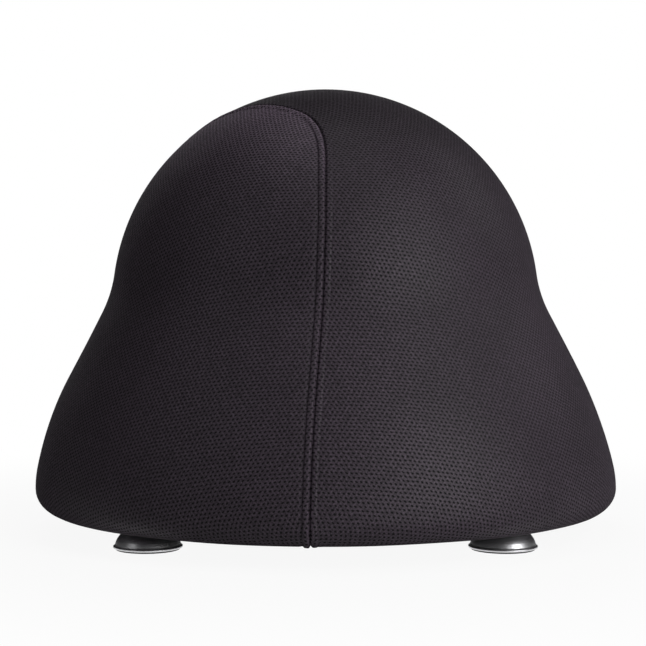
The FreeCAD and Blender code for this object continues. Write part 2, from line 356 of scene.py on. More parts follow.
# %% [markdown]
# ## The outline of the dressed cover
# Seen from the side, the cover is a chain of arcs that run into each other: a rolled rim, a
# shoulder, a long flank, a straight flare, a hollow neck and the dome of the ball.

# %% Outline as arcs
SEAT_HEIGHT, COVER_RADIUS, BALL_HEIGHT = 0.432, 0.28575, 0.2207
DOME_RADIUS = SEAT_HEIGHT - BALL_HEIGHT
RIM_RADIUS, WIDEST, HEM_RADIUS = 0.0215, 0.0405, 0.250
SHOULDER_RADIUS, FLANK_RADIUS, NECK_RADIUS = 0.106, 0.337, 0.121
SHOULDER_ANGLE, FLARE_ANGLE = math.radians(11.6), math.radians(27.0)
UNDERSIDE = WIDEST - RIM_RADIUS
RING_RADIUS = COVER_RADIUS - RIM_RADIUS
ARC_STEP = 0.4 * MM


def bend(centre, radius, first, last, hollow=False):
    """Points and outward normals of an arc."""
    out = direction(np.linspace(first, last, int(abs(last - first) * radius / ARC_STEP)))
    return centre + radius * out, (-out if hollow else out)


def cover_outline():
    """The chain of arcs, as points and normals from the hem under the rim up to the crown."""
    shoulder, ball = (COVER_RADIUS - SHOULDER_RADIUS, WIDEST), (0.0, BALL_HEIGHT)
    flank = shoulder + (SHOULDER_RADIUS - FLANK_RADIUS) * direction(SHOULDER_ANGLE)
    out = direction(FLARE_ANGLE)
    up = direction(FLARE_ANGLE + math.pi / 2)
    start = flank + FLANK_RADIUS * out
    offset = start + NECK_RADIUS * out - ball
    along, beyond = offset @ up, offset @ offset - (DOME_RADIUS + NECK_RADIUS) ** 2
    run = -along - math.sqrt(along ** 2 - beyond)
    neck = start + run * up + NECK_RADIUS * out
    meet = math.atan2(neck[1] - BALL_HEIGHT, neck[0])
    chain = [
        ([(HEM_RADIUS, UNDERSIDE), (RING_RADIUS, UNDERSIDE)], [(0.0, -1.0)] * 2),
        bend((RING_RADIUS, WIDEST), RIM_RADIUS, -math.pi / 2, 0.0),
        bend(shoulder, SHOULDER_RADIUS, 0.0, SHOULDER_ANGLE),
        bend(flank, FLANK_RADIUS, SHOULDER_ANGLE, FLARE_ANGLE),
        bend(neck, NECK_RADIUS, math.pi + FLARE_ANGLE, math.pi + meet, hollow=True),
        bend(ball, DOME_RADIUS, meet, math.pi / 2),
    ]
    points, normals = (np.vstack(column) for column in zip(*chain))
    length = travelled(points)
    keep = np.concatenate([[True], np.diff(length) > 1e-7])
    return points[keep], normals[keep], length[keep]


OUTLINE, OUTWARD, LENGTH = cover_outline()
REACH = LENGTH[-1]
WIDE_AT = LENGTH[np.argmax(OUTLINE[:, 0])]
print("cloth from hem to crown:", round(REACH * 1000), "mm")


def on_cover(angle, run, lift=0.0):
    """Points at an angle round the axis and a length of cloth from the hem, lifted off the outline."""
    r, z = (np.interp(run, LENGTH, path) + lift * np.interp(run, LENGTH, out)
            for path, out in zip(OUTLINE.T, OUTWARD.T))
    return upright(r, angle, z)


def unrolled(flat):
    """Angle and run of points of the flat disc, which has the crown at its middle."""
    return np.arctan2(flat[..., 1], flat[..., 0]), REACH - np.linalg.norm(flat, axis=-1)


# %% [markdown]
# ## The seam
# The seam of a petal runs up the front, round the top of the petal and down the left side. It is
# drawn from above as straight lines and roundings, then laid on the cover. The other petal's
# seam is the same curve turned by half a turn.

# %% Seam from above, laid on the cover
PETAL_TOP, PETAL_ROUNDING = 0.095, 0.075
LEAN_START, LEAN = 0.200, math.tan(math.radians(8.7))
SEAM_STEPS = 1201


def seam_from_above():
    """Front side, rounding, top, rounding and left side of the petal."""
    corner = math.sqrt(2.0) * PETAL_TOP
    straight_end = corner + PETAL_ROUNDING * math.tan(math.pi / 8)
    y = -np.linspace(COVER_RADIUS + 0.003, straight_end, 300)
    side = stacked(-LEAN * np.maximum(0.0, -y - LEAN_START), y)
    turn = PETAL_ROUNDING * direction(np.linspace(0.0, math.pi / 4, 60)) - (PETAL_ROUNDING, straight_end)
    left = side[::-1, ::-1] * (1.0, -1.0)
    across = np.linspace(0.0, 1.0, 60)[1:-1, None]
    top = turn[-1] + across * (turn[-1][::-1] - turn[-1])
    return np.vstack([side, turn[1:], top, turn[::-1, ::-1], left[1:]])


def seam_on_cover():
    """The seam as points of the flat disc, at even steps along the cloth."""
    plan = evenly(seam_from_above(), 2001)
    half = 30
    window = np.hanning(2 * half + 1)
    padded = np.pad(plan, ((half, half), (0, 0)), "edge")
    soft = stacked(*(np.convolve(column, window / window.sum(), "valid") for column in padded.T))
    soft[:half + 1], soft[-half - 1:] = plan[:half + 1], plan[-half - 1:]
    radius, angle = np.linalg.norm(soft, axis=1), np.unwrap(np.arctan2(*soft.T[::-1]))
    upper = LENGTH >= WIDE_AT
    run = np.interp(-radius, -OUTLINE[upper, 0], LENGTH[upper])
    inside = radius < COVER_RADIUS - 1e-5
    run, angle = run[inside], angle[inside]
    below = np.linspace(0.0, 1.0, 60)[:-1]
    run = np.concatenate([below * run[0], run, below[::-1] * run[-1]])
    angle = np.pad(angle, len(below), "edge")
    return evenly((REACH - run)[:, None] * direction(angle), SEAM_STEPS, along=on_cover(angle, run))


SEAM = seam_on_cover()
SEAM_POINTS = on_cover(*unrolled(SEAM))
SEAM_LENGTH = travelled(SEAM_POINTS)[-1]
print("each petal's seam:", round(SEAM_LENGTH * 1000), "mm")


def from_seams(points, turned):
    """Distance of each point to the nearest seam, and the length along that seam.

    The nearest of every eighth seam point comes first, then the nearest of the pieces about it.
    """
    best, along = np.full(points.shape[:-1], 9.0), np.zeros(points.shape[:-1])
    for sign in turned:
        seam = SEAM_POINTS * (sign, sign, 1.0)
        coarse = np.stack([((points - one) ** 2).sum(-1) for one in seam[::8]]).argmin(0) * 8
        pick = np.clip(coarse[..., None] + np.arange(-8, 8), 0, len(seam) - 2)
        off, step = points[..., None, :] - seam[pick], np.diff(seam, axis=0)[pick]
        t = np.clip((off * step).sum(-1) / (step * step).sum(-1), 0.0, 1.0)
        d = np.linalg.norm(off - t[..., None] * step, axis=-1)
        k = d.argmin(-1)[..., None]
        near, at = (np.take_along_axis(each, k, -1)[..., 0] for each in (d, pick + t))
        along = np.where(near < best, at * SEAM_LENGTH / (len(seam) - 1), along)
        best = np.minimum(near, best)
    return best, along


# %% [markdown]
# ## Relief of the sewn cloth
# On the petal's side the seam allowance is folded under and stitched down, so a 7 mm strip
# stands a little proud. Thread pulls a narrow channel into the thick mesh beside it.

# %% Heights across and along the seam
PETAL_ROW, SADDLE_ROW, HEM_ROW = 7.0, 6.2, 6.0
# In millimetres from the seam: where the raised strip rises and falls, its height, the channel's
# depth and width, and the phase and reach of the puckers.
PETAL_SIDE = (PETAL_ROW, (0.3, 1.8), (5.4, 6.7), 1.0, 0.5, 1.8, 0.0, 10.0)
SADDLE_SIDE = (SADDLE_ROW, (0.8, 2.6), (4.2, 9.2), 0.5, 0.4, 1.0, 2.0, 9.0)


def dip(distance, at, width):
    """A channel: minus a bell curve of that half width, centred at a distance."""
    return -np.exp(-((distance - at) / width) ** 2)


def ease(value, low, high):
    t = np.clip((value - low) / (high - low), 0.0, 1.0)
    return t * t * (3.0 - 2.0 * t)


def gather(along, phase):
    """Puckers along a stitched seam: two waves, 11 and 16 mm long, that drift against each other."""
    return np.sin(along * 560.0 + phase) + 0.6 * np.sin(along * 397.0 + 2.0 * phase + 1.0)


def relief(side, d, along, run):
    """Height of the cloth beside a seam: groove, strip, channel and puckers."""
    row, rise, fall, height, depth, width, phase, reach = side
    mm = d / MM
    strip = height * ease(mm, *rise) * (1.0 - ease(mm, *fall))
    lift = (1.4 * dip(mm, 0.0, 0.9) + strip + depth * dip(mm, row, width)
            + 0.11 * gather(along, phase) * np.exp(-mm / reach))
    return MM * (lift + hem_relief(mm, run / MM))


def hem_relief(mm, run):
    """A stitch row near the hem, and the lump where the seam's layers turn under the rim."""
    lump = 1.3 * np.exp(-(mm / 7.0) ** 2) * np.exp(-((run - WIDE_AT / MM + 16.0) / 12.0) ** 2)
    return 0.5 * dip(run, HEM_ROW, 1.0) + 0.9 * dip(run, 0.0, 1.2) + lump


def swell(angle, run):
    """The slow unevenness of cloth over foam: a few waves of a fraction of a millimetre."""
    low = 1.0 - ease(run, 0.16, 0.30)
    waves = (np.sin(3 * angle + 40 * run) + 0.7 * np.sin(7 * angle - 25 * run + 1.3)
             + 0.5 * np.sin(13 * angle + 55 * run + 0.4))
    return 0.28 * MM * low * waves * ease(run, 0.0, 0.03)


# %% [markdown]
# ## Cloth grain
# Each panel is a flat piece whose net runs from front to back over the crown. Away from the middle
# of a wing it is rolled onto the cone that touches the cover there, so the columns lean.

# %% Grain coordinates
def cone_opening():
    """How fast the cover widens on the way down, averaged over 140 mm of cloth."""
    even = np.linspace(0.0, REACH, 501)
    rate = np.clip(-np.gradient(np.interp(even, LENGTH, OUTLINE[:, 0]), even), 0.38, 1.0)
    window = np.hanning(int(0.140 / even[1]) // 2 * 2 + 1)
    padded = np.pad(rate, len(window) // 2, "edge")
    return np.interp(LENGTH, even, np.convolve(padded, window / window.sum(), "valid"))


OPENING = cone_opening()


def grain(angle, run, middle):
    """Cloth coordinates in metres: across the net's columns and along them.

    On the cone through a point, the arc from the middle line has the radius r / c, where c is how
    fast the cover widens. Near the crown the flat disc takes over.
    """
    radius, c = np.interp(run, LENGTH, OUTLINE[:, 0]), np.interp(run, LENGTH, OPENING)
    turn = np.mod(angle - middle + math.pi, TURN) - math.pi
    side = radius / c * np.sin(c * turn)
    down = REACH - run - radius / c * (1.0 - np.cos(c * turn))
    on_disc = (REACH - run)[..., None] * direction(angle)
    wing = down[..., None] * direction(middle) + side[..., None] * direction(middle + math.pi / 2)
    share = ease(REACH - run, 0.09, 0.22)[..., None]
    return (1.0 - share) * on_disc + share * wing


# %% [markdown]
# ## Panels as patches between four edges
# A panel is stretched between two seams and two stretches of hem. Its points are a blend of the
# four edges, packed close beside the seams so that the channels are cut in the mesh itself.

# %% Patch between four edges
NEAR_SEAM = np.array([0, .25, .5, .75, 1.0, 1.3, 1.6, 2.0, 2.6, 3.4, 4.4, 4.9, 5.3, 5.7, 6.1, 6.5, 6.9, 7.3,
    7.7, 8.1, 8.7, 9.6, 11.0, 13.0]) * MM


def hem_arc(first, last, t):
    """Along the hem, from one angle to the other."""
    return REACH * direction(first + (last - first) * t)


def patch(left, right, bottom, top, u, v):
    """Coons patch: the blend of both pairs of edges, less the blend of the four corners."""
    v = v[:, None] + 0.0 * u

    def blend(share, first, second):
        return (1 - share)[..., None] * first + share[..., None] * second

    low, high = (blend(u, left(end), right(end)) for end in (np.zeros_like(u), np.ones_like(u)))
    return blend(u, left(v), right(v)) + blend(v, bottom(u), top(u)) - blend(v, low, high)


def packed(width, middle, both=True):
    """Shares across lines of those widths, close together near the seams."""
    width = np.asarray(width)[:, None]
    first = NEAR_SEAM / width
    steps = np.linspace(0.0, 1.0, middle + 2)[1:-1]
    last = 1.0 - first[:, ::-1] if both else np.ones_like(width)
    inner = first[:, -1:] + steps * (last[:, :1] - first[:, -1:])
    return np.hstack([first, inner, last])


def span(left, right, v):
    """Length over the cloth between two edges, along straight lines of the flat disc."""
    t = np.linspace(0.0, 1.0, 9)[:, None, None]
    line = (1 - t) * left(v) + t * right(v)
    return np.linalg.norm(np.diff(on_cover(*unrolled(line)), axis=0), axis=-1).sum(0)


# %% [markdown]
# ## Spacer mesh
# The cloth is a thick knitted spacer mesh: two net faces with a springy layer between them. Its
# holes stand in columns 3.7 mm apart, every other column half a step lower. The holes are painted
# darker, partly for the dark inner layer and partly as painted shade in their depth, and where the
# yarn crosses between them it gets a painted highlight. Noise pulls the net a little out of true.

# %% Mesh cloth finish
COLUMN, HOLE_STEP, LOOP_STEP = 3.73 * MM, 3.76 * MM, 0.94 * MM
YARN = (0.0395, 0.0296, 0.0402)


def mesh_cloth():
    finish = Finish("cover_mesh")
    across, along, _ = finish.parts(finish.place("UV"))
    across = across + (finish.noise(170.0) - 0.5) * (1.4 * MM)
    along = along + (finish.noise(120.0) - 0.5) * (1.8 * MM)
    stagger = across.wave(2 * COLUMN) * along.wave(HOLE_STEP)
    ridge = across.wave(COLUMN)
    # Holes painted darker: partly the dark inner layer, partly painted shade in their depth.
    hole = finish.between(stagger, 0.12, 0.72)
    # Painted highlight where the yarn crosses between two holes.
    crossing_highlight = finish.between(stagger, -0.9, 0.1, 1.0, 0.0)
    loops = (along * (TURN / LOOP_STEP) + ridge * 1.3).maths("SINE")
    patches = finish.between(finish.noise(9.0, 3.0, 0.55), 0.3, 0.7, 0.88, 1.12)
    lint = finish.between(finish.noise(420.0, 2.0, 0.6), 0.3, 0.75, 0.84, 1.20)
    fibres = finish.between(finish.noise(750.0), 0.36, 0.64, 0.62, 1.38)
    shade = ((1.0 - hole * 0.92) * (1.0 - ridge * 0.16) * (1.0 + loops * 0.09) * (1.0 + crossing_highlight * 0.22)
             # tone is painted light: a painted highlight on the petals' tops, painted shade on the saddle's
             # crown
             * lint * patches * (1.0 + finish.mark("tone")) * fibres
             # painted highlight along the folded edges, about 2 mm from each seam
             * (1.0 + finish.mark("painted_fold_highlight") * 0.40))
    height = (1.0 - hole) - ridge * 0.12 + loops * 0.10
    facing = finish.node("ShaderNodeLayerWeight", {"Blend": 0.5}, "Facing")
    rough = finish.between(facing, 0.35, 0.85, 0.46, 0.95) + hole * 0.3
    return finish.done(YARN, shade, rough, height, 0.4, 0.7, Specular_IOR_Level=0.26)


MESH_CLOTH = mesh_cloth()
print(MESH_CLOTH.name)


# %% [markdown]
# ## The three panels
# The saddle runs from the front right over the crown to the back left, and the two petals fill
# the other quarters. A petal is painted lighter towards its top, a painted highlight, and the
# saddle is painted darker near the crown, a painted shade.

# %% One panel
CLOTH = 2.4 * MM


def outwards(at): return at.x, at.y, at.z - BALL_HEIGHT


def panel(node, disc, side, wings, tone, turned=(1.0, -1.0)):
    """Lays a patch on the cover with its relief, grain and thickness."""
    angle, run = unrolled(disc)
    run = np.clip(run, 0.0, REACH)
    d, along = from_seams(on_cover(angle, run), turned)
    points = on_cover(angle, run, relief(side, d, along, run) + swell(angle, run))
    uv = grain(angle, run, np.where(np.cos(angle - wings[0]) >= 0.0, *wings)).reshape(-1, 2)
    # a painted highlight along the folded edges, about 2 mm from each seam
    # tone: painted highlight towards a petal's top, painted shade near the saddle's crown
    marks = {"painted_fold_highlight": -dip(d, 1.9 * MM, 1.1 * MM), "tone": tone(REACH - run)}
    made = piece(node + "_cloth", [(points, False, False)], MESH_CLOTH, node, uv=uv, marks=marks,
                 facing=outwards)
    thicken(made, CLOTH)


# %% Saddle panel
FRONT, LEFT = (math.atan2(end[1], end[0]) % TURN for end in (SEAM[0], SEAM[-1]))
EIGHTH = math.pi / 4


def seam_up(t): return on_path(SEAM, t)
def far_seam(t): return on_path(-SEAM[::-1], t)
def front_right_hem(u): return hem_arc(FRONT, LEFT + math.pi, u)
def back_left_hem(u): return hem_arc(LEFT, FRONT - math.pi, u)
# Painted shade: the saddle is painted darker near the crown.
def saddle_painted_shade(from_crown): return -0.34 * (1.0 - ease(from_crown, 0.13, 0.24))


v = np.linspace(0.0, 1.0, 400)
u = packed(span(seam_up, far_seam, v), 46)
saddle_disc = patch(seam_up, far_seam, front_right_hem, back_left_hem, u, v)
panel("cover_saddle_panel", saddle_disc, SADDLE_SIDE, (-EIGHTH, 3 * EIGHTH), saddle_painted_shade)

# %% Petals
CORNER = 0.5 - 0.5 * PETAL_TOP / SEAM_LENGTH


def petal_left(t): return on_path(SEAM, 1.0 - t * CORNER)
def petal_right(t): return on_path(SEAM, t * CORNER)
def petal_hem(u): return hem_arc(LEFT, FRONT, u)
def petal_top(u): return on_path(SEAM, 1.0 - CORNER - u * (1.0 - 2 * CORNER))
# Painted highlight: a petal is painted up to 2.8 times lighter towards its top.
def petal_painted_highlight(from_crown): return 1.8 * np.clip((0.27 - from_crown) / 0.15, 0.0, 1.0) ** 2


v = 1.0 - packed([SEAM_LENGTH * CORNER], 130, both=False)[0][::-1]
u = packed(np.maximum(span(petal_left, petal_right, v), 0.05), 34)
petal_disc = patch(petal_left, petal_right, petal_hem, petal_top, u, v)
for end, sign, wing in (("front_left", 1.0, 5 * EIGHTH), ("back_right", -1.0, EIGHTH)):
    panel("cover_petal_" + end, sign * petal_disc, PETAL_SIDE, (wing, wing), petal_painted_highlight,
          (sign,))


# %% [markdown]
# ## Stitches
# Thread lies in the channels as a row of short stitches. Each one is a small arched tube of
# twenty faces whose ends dive into the cloth.

# %% Stitch rows along the seams and the hem
STITCH_STEP, STITCH_SHARE, THREAD_RADIUS = 3.3 * MM, 0.72, 0.3 * MM
ARCH = np.array([-0.5, 0.25, 0.35, 0.25, -0.5])[:, None] * MM


def beside_seam(offset):
    """The path (angle, run) at a distance beside the seam: along normal x tangent."""
    normal = on_cover(*unrolled(SEAM), 1.0) - SEAM_POINTS
    tangent = unit(np.gradient(SEAM_POINTS, axis=0))
    x, y, z = (SEAM_POINTS + offset * MM * np.cross(normal, tangent)).T
    gap = (OUTLINE[::3, 0] - np.hypot(x, y)[:, None]) ** 2 + (OUTLINE[::3, 1] - z[:, None]) ** 2
    run, angle = LENGTH[::3][gap.argmin(1)], np.unwrap(np.arctan2(y, x))
    return evenly(stacked(angle, run), SEAM_STEPS, along=on_cover(angle, run))


def stitches(path, sign, lift):
    """Arched tubes along a path of (angle, run), one per step."""
    turn = np.array([sign, sign, 1.0])
    points = on_cover(*path.T, lift * MM) * turn
    up = on_cover(*path.T, lift * MM + 1.0) * turn - points
    count = int(travelled(points)[-1] / STITCH_STEP)
    at = (np.arange(count)[:, None] + 0.5 + STITCH_SHARE * np.linspace(-0.5, 0.5, 5)) / count
    out = on_path(up, at)
    middle = on_path(points, at) + ARCH * out
    along = unit(middle[:, -1:] - middle[:, :1])
    return tube(middle, np.cross(along, out), out, THREAD_RADIUS, 5), True, False


def thread_finish():
    finish = Finish("seam_thread")
    twist = (finish.parts(finish.place())[2] * 9000.0).maths("SINE")
    fuzz = finish.noise(900.0)
    shade = finish.between(fuzz, 0.3, 0.7, 0.8, 1.2)
    return finish.done((0.054, 0.042, 0.055), shade, 0.8, twist * 0.4 + fuzz, 0.2, Specular_IOR_Level=0.3)


rows = [stitches(beside_seam(offset), sign, lift)
        for sign in (1.0, -1.0) for offset, lift in ((PETAL_ROW, -0.75), (-SADDLE_ROW, -0.25))]
rows.append(stitches(stacked(np.linspace(0.0, TURN, SEAM_STEPS), HEM_ROW * MM), 1.0, -0.35))
piece("seam_stitches", rows, thread_finish())

# %% [markdown]
# ## Levelling feet
# A pressed steel cap with a rolled edge stands on a black nylon pad. Its threaded stud carries a
# hexagon collar for a spanner.

# %% Metals and plastics
FOOT_CIRCLE = 0.226
FOOT_OFF = FOOT_CIRCLE * math.sqrt(0.5)
FEET = {"front_right": -EIGHTH, "back_right": EIGHTH, "back_left": 3 * EIGHTH, "front_left": 5 * EIGHTH}


def about_foot(finish):
    """Distance from the upright axis of the nearest foot, and height."""
    x, y, z = finish.parts(finish.place())
    dx, dy = x.maths("ABSOLUTE") - FOOT_OFF, y.maths("ABSOLUTE") - FOOT_OFF
    return (dx * dx + dy * dy).maths("SQRT"), z


def spun_metal(name, colour, rough, rings):
    """Metal polished while it turns: rings about the foot's axis, and faint handling marks."""
    finish = Finish(name)
    turned = finish.node("ShaderNodeCombineXYZ", about_foot(finish))
    lines, smudge = finish.noise(rings, 3.0, 0.6, turned), finish.noise(60.0, 3.0)
    rough = finish.between(lines + smudge * 0.3, 0.4, 0.9, rough, rough + 0.12)
    return finish.done(colour, finish.between(smudge, 0.3, 0.7, 0.93, 1.03), rough, lines, 0.04, Metallic=1.0)


def plain_metal(name, colour, rough):
    """Plated metal: a fine grain and worn, slightly brighter patches."""
    finish = Finish(name)
    worn = finish.noise(140.0, 3.0)
    shade = finish.between(worn, 0.35, 0.7, 0.9, 1.12)
    rough = finish.between(worn, 0.3, 0.7, rough + 0.08, rough - 0.04)
    return finish.done(colour, shade, rough, finish.noise(2600.0), 0.03, Metallic=1.0)


def plastic(name, colour, rough, scale, depth):
    """Moulded plastic with a spark-eroded grain."""
    finish = Finish(name)
    scuff = finish.noise(90.0, 4.0, 0.65)
    shade = finish.between(scuff, 0.3, 0.75, 0.9, 1.2)
    rough = finish.between(scuff, 0.3, 0.7, rough, rough + 0.14)
    return finish.done(colour, shade, rough, finish.noise(scale, 3.0, 0.6), depth, Specular_IOR_Level=0.4)


CAP_METAL = spun_metal("cap_metal", (0.76, 0.76, 0.78), 0.33, 2400.0)
STUD_STEEL = plain_metal("stud_steel", (0.55, 0.54, 0.50), 0.30)
PAD_PLASTIC = plastic("pad_plastic", (0.012, 0.012, 0.013), 0.5, 1400.0, 0.08)
print(CAP_METAL.name, STUD_STEEL.name, PAD_PLASTIC.name)

# %% Caps, pads and studs
STUD_LOW, STUD_HIGH, PITCH = 4.05, 41.0, 1.5
CAP_OUTSIDE = rounded([(6.6, 16.0), (22.6, 16.0), (27.9, 9.9), (29.7, 4.4), (30.5, 3.6), (31.25, 3.3),
    (31.25, 1.6), (30.2, 1.6)], [1.6, 5.5, 1.2, 0.4, 0.6, 0.6])
CAP_INSIDE = rounded([(30.2, 1.6), (29.9, 2.2), (28.5, 2.6), (26.7, 9.3), (21.6, 14.8), (6.6, 14.8)],
    [0.2, 0.5, 4.0, 1.2])
CAP = MM * np.vstack([CAP_OUTSIDE, CAP_INSIDE[1:]])
GROOVE = [(0.0, 0.0), (0.6, 0.5), (1.4, 0.5), (2.0, 0.0)]
GROOVES = [(start + across, depth) for start in (13.0, 17.0, 21.0, 25.0) for across, depth in GROOVE]
PAD_TOP = rounded([(27.6, 0.0), (28.85, 0.0), (28.85, 1.6), (12.0, 1.6), (12.0, 12.0), (5.1, 12.0),
    (5.1, 4.0), (0.0, 4.0)], [0.45, 0.3, 0.6, 0.4, 0.3, 0.3])
PAD = MM * np.vstack([[(0.0, 0.0), (8.0, 0.0)], GROOVES, PAD_TOP])


def stud(centre):
    """Threaded bar and its collar; the thread's phase is height / pitch - angle / turn."""
    z = np.append(np.arange(STUD_LOW, STUD_HIGH, PITCH / 8), STUD_HIGH)[:, None]
    a = circle(32)
    saw = np.abs(np.mod(z / PITCH - a / TURN, 1.0) - 0.5)
    r = 4.1 + 0.9 * np.clip(saw * 4.0 - 0.5, 0.0, 1.0)
    r = np.minimum(r, 4.2 + np.minimum(z - STUD_LOW, STUD_HIGH - z) * 0.8)
    r = np.where((z > 13.0) & (z < 20.6), 4.6, r)
    r, z = np.vstack([0.0 * r[:1], r, 0.0 * r[:1]]), np.vstack([z[:1], z, z[-1:]])
    thread = upright(MM * r, a, MM * z, centre)
    a = circle(72)
    hexagon = 7.5 / np.cos(np.mod(a, math.pi / 3) - math.pi / 6)
    rows = ((16.4, 4.6), (16.4, 7.6), (16.95, 9.0), (19.55, 9.0), (20.1, 7.6), (20.1, 4.6))
    collar = [upright(MM * np.minimum(hexagon, limit), a, MM * z, centre) for z, limit in rows]
    return [(thread, True, False), (np.stack(collar), True, True)]


for name, angle in FEET.items():
    centre = FOOT_CIRCLE * direction(angle)
    piece("cap_" + name, [lathe(CAP, 96, centre, closed=True)], CAP_METAL, "foot_cap_" + name, "foot_" + name)
    piece("pad_" + name, [lathe(PAD, 72, centre)], PAD_PLASTIC, "foot_pad_" + name, "foot_" + name)
    piece("stud_" + name + "_threaded", stud(centre), STUD_STEEL, "foot_stud_" + name, "stud_" + name)

# %% [markdown]
# ## Underside
# A woven base closes the cover from below. Metal eyelets let the studs through, and a zip on a
# half circle gives access to the ball.

# %% Base cloth
ZIP_RADIUS, ZIP_START, ZIP_SWEEP = 0.150, math.radians(185.0), math.radians(171.8)
EYELET_HOLE, SLOT_HALF = 15.0 * MM, 2.9 * MM


def woven(name, colour, pitch, slant=0.0):
    """Plain or slanted weave: two crossed rows of threads that pass over and under."""
    finish = Finish(name)
    x, y, _ = finish.parts(finish.place())
    over = (x + y * slant).wave(2 * pitch, "SINE") * y.wave(2 * pitch, "SINE")
    shade = (1.0 + over * 0.25) * finish.between(finish.noise(22.0, 4.0, 0.6), 0.3, 0.7, 0.85, 1.2)
    rough = finish.between(over, -1.0, 1.0, 0.9, 0.75)
    return finish.done(colour, shade, rough, over, 0.3, Sheen_Weight=0.03, Specular_IOR_Level=0.2)


BASE_CLOTH = woven("base_cloth", (0.021, 0.020, 0.022), 0.9 * MM)
ZIP_TAPE = woven("zip_tape", (0.026, 0.025, 0.028), 0.55 * MM, 0.8)


def holes_in_base(at):
    """True for points within an eyelet's hole or in the zip's slot."""
    x, y, _ = at.T
    eyelet = np.hypot(np.abs(x) - FOOT_OFF, np.abs(y) - FOOT_OFF) < EYELET_HOLE
    beyond = np.arctan2(y, x) % TURN - ZIP_START
    slot = np.abs(np.hypot(x, y) - ZIP_RADIUS) < SLOT_HALF
    return eyelet | (slot & (beyond > 0.0) & (beyond < ZIP_SWEEP))


def base_grid():
    """Disc with rows at the zip's edges, in soft waves, with a dip along its stitching."""
    r = np.concatenate([np.linspace(0.0, 0.139, 44), [.1395, .1405, .147, .153, .1595, .1605],
                        np.linspace(0.163, 0.243, 27), [.2442, .2448, .2454, .247, .2485, .2496]])[:, None]
    a = circle(560)
    rise = 0.25 * np.sin(5 * a + 30 * r) * np.sin(r * 25) - 0.15 * np.sin(9 * a - 50 * r)
    rise = rise * ease(0.245 - r, 0.0, 0.03) * ease(np.abs(r - ZIP_RADIUS), 0.010, 0.025) * ease(r, 0.0, 0.05)
    rise = rise + 0.4 * np.exp(-((r - 0.2448) / 0.0009) ** 2) + ease(r, 0.2480, 0.2496)
    return upright(r, a, UNDERSIDE + MM * np.maximum(rise, -0.3))


def downwards(at): return 0.0, 0.0, -1.0


base = piece("bottom_panel_cloth", [(base_grid(), True, False)], BASE_CLOTH, "bottom_panel",
             facing=downwards, drop=holes_in_base)
thicken(base, 1.6 * MM)

# %% Eyelets, zip tape and coil
EYELET_OUTSIDE = rounded([(12.6, 21.2), (12.6, 18.35), (13.4, 18.2), (15.6, 18.2), (17.0, 18.7),
    (17.0, 19.0)], [0.3, 0.5, 0.7, 0.3])
EYELET = MM * np.vstack([EYELET_OUTSIDE, [(13.1, 18.95), (13.1, 21.2)]])
EYELET_METAL = plain_metal("eyelet_metal", (0.16, 0.16, 0.17), 0.32)
eyelets = [lathe(EYELET, 72, FOOT_CIRCLE * direction(angle), closed=True) for angle in FEET.values()]
piece("bottom_eyelets_rolled", eyelets, EYELET_METAL, "bottom_eyelets")

TAPE_HALF = [(0.0, 18.6), (0.25, 18.6), (0.35, 18.1), (1.2, 18.2), (7.8, 18.45), (8.2, 18.62), (8.6, 18.45),
    (10.6, 18.45), (11.0, 18.75), (11.0, 18.98)]
TAPE = MM * np.array([(150.0 + side * x, z) for side, half in ((-1, TAPE_HALF[:0:-1]), (1, TAPE_HALF))
    for x, z in half])


def capped(grid):
    """Closes both ends of a swept section by a column of points at its middle."""
    points, whole, closed = grid
    tips = [np.repeat(points[:, k].mean(0)[None, None], len(points), 0) for k in (0, -1)]
    return np.concatenate([tips[0], points, tips[1]], 1), whole, closed


swept = lathe(TAPE, 220, start=ZIP_START, sweep=ZIP_SWEEP, closed=True)
tape = piece("zip_tape_woven", [capped(swept)], ZIP_TAPE, "zip_tape")


def coil():
    """The zip's coil: a bent wire every 0.7 mm, by turns from either side."""
    angle = np.arange(ZIP_START + 0.02, ZIP_START + ZIP_SWEEP - 0.02, 0.7 * MM / ZIP_RADIUS)[:, None]
    side = 1 - 2 * (np.arange(len(angle)) % 2)[:, None]
    across = side * MM * np.array([2.7, 0.4, -0.9, -0.9, 0.4, 2.7])
    path = upright(ZIP_RADIUS + across, angle, MM * np.array([19.2, 19.1, 19.3, 20.0, 20.2, 20.1]))
    around = upright(1.0, angle + math.pi / 2, 0.0)
    return tube(path, around, np.cross(unit(np.gradient(path, axis=1)), around), 0.3 * MM, 4), True, False


COIL = plastic("zip_coil", (0.02, 0.02, 0.021), 0.35, 900.0, 0.05)
piece("zip_coil", [coil()], COIL)


# %% [markdown]
# ## Slider and pull
# The slider is a plate with a small bridge, and the pull hangs from the bridge on its pin.

# %% Plate, bridge and pull
PIN_HALF, PIN_HEIGHT, PIN_RADIUS = 3.6, 14.85, 0.75
SLIDER_AT = ZIP_START + math.radians(4.0)
ZIP_METAL = plain_metal("zip_metal", (0.20, 0.20, 0.21), 0.28)


def at_slider(points):
    """From the slider's own axes (outwards, along the zip, up) to its place on the zip."""
    x, y, z = np.moveaxis(points, -1, 0)
    return MM * stacked(*rotated(x + 150.0, y, SLIDER_AT), z)


def superellipse(count, power):
    """Outline between a circle and a square: |cos| and |sin| raised to a power."""
    both = direction(circle(count)).T
    return np.sign(both) * np.abs(both) ** power


def slab(width, length, taper, low, high, edge):
    """Rounded plate, narrower at one end."""
    x, y = superellipse(64, 0.5)
    x = x * (1.0 - taper * (y + 1.0) / 2.0)
    rows = ((0.0, low), (0.9, low), (1.0, low + edge), (1.0, high - edge), (0.9, high), (0.0, high))
    grid = np.stack([stacked(0.5 * width * k * x, 0.5 * length * k * y, z) for k, z in rows])
    return at_slider(grid), True, False


